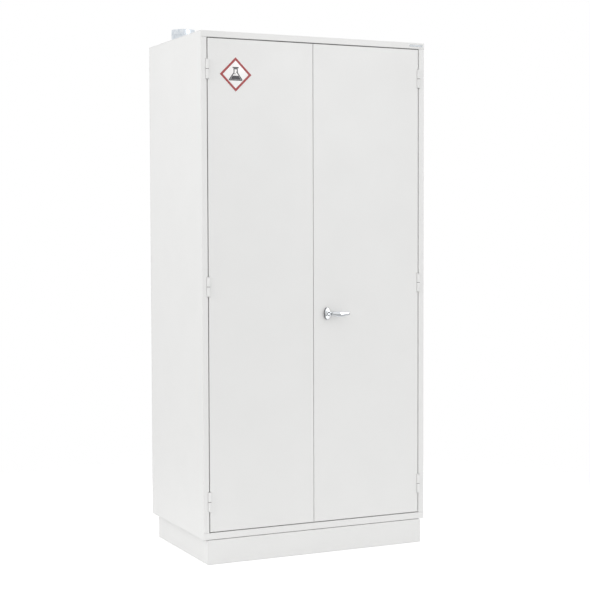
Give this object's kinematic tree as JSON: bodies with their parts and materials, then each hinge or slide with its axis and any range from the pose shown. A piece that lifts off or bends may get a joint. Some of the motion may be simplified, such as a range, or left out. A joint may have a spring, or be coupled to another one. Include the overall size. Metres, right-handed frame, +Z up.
{
  "type": "ventilated safety storage cabinet",
  "caption": "Tall white steel safety cabinet with two hinged doors, a lever lock driving rods, sump trays inside, a plinth and a round duct spigot on the roof.",
  "frame": {"origin": "on the floor, under the centre of the whole outline, from the back panel to the tip of the lever", "axes": "+Z up; +Y towards the back panel, away from the doors; +X to the right as a person facing the doors sees it"},
  "size_m": [1, 0.648, 2.167],
  "materials": {
    "white_powder_coat": "satin",
    "grey_powder_coat": "satin",
    "galvanised_steel": "dull spangle",
    "zinc_plate": "satin",
    "brushed_aluminium": "brushed",
    "chrome_plate": "polished",
    "printed_label": "satin"
  },
  "bodies": {
    "cabinet": {"left_side_panel": "white_powder_coat", "right_side_panel": "white_powder_coat", "back_panel": "white_powder_coat", "roof_panel": "white_powder_coat", "floor_panel": "white_powder_coat", "plinth_front_rail": "white_powder_coat", "plinth_back_rail": "white_powder_coat", "plinth_left_rail": "white_powder_coat", "plinth_right_rail": "white_powder_coat", "vent_spigot": "galvanised_steel", "bottom_sump": "galvanised_steel", "blank_name_strip": "brushed_aluminium", "left_front_upright": "grey_powder_coat", "left_rear_upright": "grey_powder_coat", "right_front_upright": "grey_powder_coat", "right_rear_upright": "grey_powder_coat", "shelf_tray_1": "grey_powder_coat", "left_shelf_ledge_1": "zinc_plate", "right_shelf_ledge_1": "zinc_plate", "shelf_tray_2": "grey_powder_coat", "left_shelf_ledge_2": "zinc_plate", "right_shelf_ledge_2": "zinc_plate", "shelf_tray_3": "grey_powder_coat", "left_shelf_ledge_3": "zinc_plate", "right_shelf_ledge_3": "zinc_plate", "shelf_tray_4": "grey_powder_coat", "left_shelf_ledge_4": "zinc_plate", "right_shelf_ledge_4": "zinc_plate", "left_frame_knuckle_lower": "white_powder_coat", "left_hinge_pin_lower": "zinc_plate", "left_frame_knuckle_middle": "white_powder_coat", "left_hinge_pin_middle": "zinc_plate", "left_frame_knuckle_upper": "white_powder_coat", "left_hinge_pin_upper": "zinc_plate", "right_frame_knuckle_lower": "white_powder_coat", "right_hinge_pin_lower": "zinc_plate", "right_frame_knuckle_middle": "white_powder_coat", "right_hinge_pin_middle": "zinc_plate", "right_frame_knuckle_upper": "white_powder_coat", "right_hinge_pin_upper": "zinc_plate"},
    "left_door": {"left_door_skin": "white_powder_coat", "left_door_liner": "white_powder_coat", "door_label": "printed_label", "left_door_knuckle_lower": "white_powder_coat", "left_door_knuckle_middle": "white_powder_coat", "left_door_knuckle_upper": "white_powder_coat"},
    "left_upper_bolt": {"left_upper_bolt": "zinc_plate"},
    "left_lower_bolt": {"left_lower_bolt": "zinc_plate"},
    "right_door": {"right_door_skin": "white_powder_coat", "right_door_liner": "white_powder_coat", "handle_rose": "chrome_plate", "lock_case": "zinc_plate", "right_door_knuckle_lower": "white_powder_coat", "right_door_knuckle_middle": "white_powder_coat", "right_door_knuckle_upper": "white_powder_coat"},
    "lever": {"lever_handle": "chrome_plate", "drive_pinion": "zinc_plate"},
    "key_core": {"key_cylinder": "chrome_plate"},
    "upper_rod": {"upper_rod": "zinc_plate"},
    "lower_rod": {"lower_rod": "zinc_plate"}
  },
  "joints": [
    {"name": "left_door_swing", "type": "hinge", "parent": "cabinet", "child": "left_door", "pos_m": [-0.47325, -0.277, 0], "axis": [0, 0, -1], "range_deg": [0, 170]},
    {"name": "right_door_swing", "type": "hinge", "parent": "cabinet", "child": "right_door", "pos_m": [0.47325, -0.277, 0], "axis": [0, 0, 1], "range_deg": [0, 170]},
    {"name": "lever_turn", "type": "hinge", "parent": "right_door", "child": "lever", "pos_m": [0.043, -0.276, 0.982], "axis": [0, 1, 0], "range_deg": [0, 90]},
    {"name": "key_turn", "type": "hinge", "parent": "lever", "child": "key_core", "pos_m": [0.043, -0.276, 0.982], "axis": [0, 1, 0], "range_deg": [0, 90]},
    {"name": "upper_rod_slide", "type": "slide", "parent": "right_door", "child": "upper_rod", "axis": [0, 0, 1], "range_m": [0, 0.02]},
    {"name": "lower_rod_slide", "type": "slide", "parent": "right_door", "child": "lower_rod", "axis": [0, 0, -1], "range_m": [0, 0.02]},
    {"name": "left_upper_bolt_slide", "type": "slide", "parent": "left_door", "child": "left_upper_bolt", "axis": [0, 0, 1], "range_m": [0, 0.015]},
    {"name": "left_lower_bolt_slide", "type": "slide", "parent": "left_door", "child": "left_lower_bolt", "axis": [0, 0, -1], "range_m": [0, 0.015]}
  ],
  "couplings": [
    {"joint": "upper_rod_slide", "follows": "lever_turn", "m_per_rad": 0.01273},
    {"joint": "lower_rod_slide", "follows": "lever_turn", "m_per_rad": 0.01273}
  ]
}
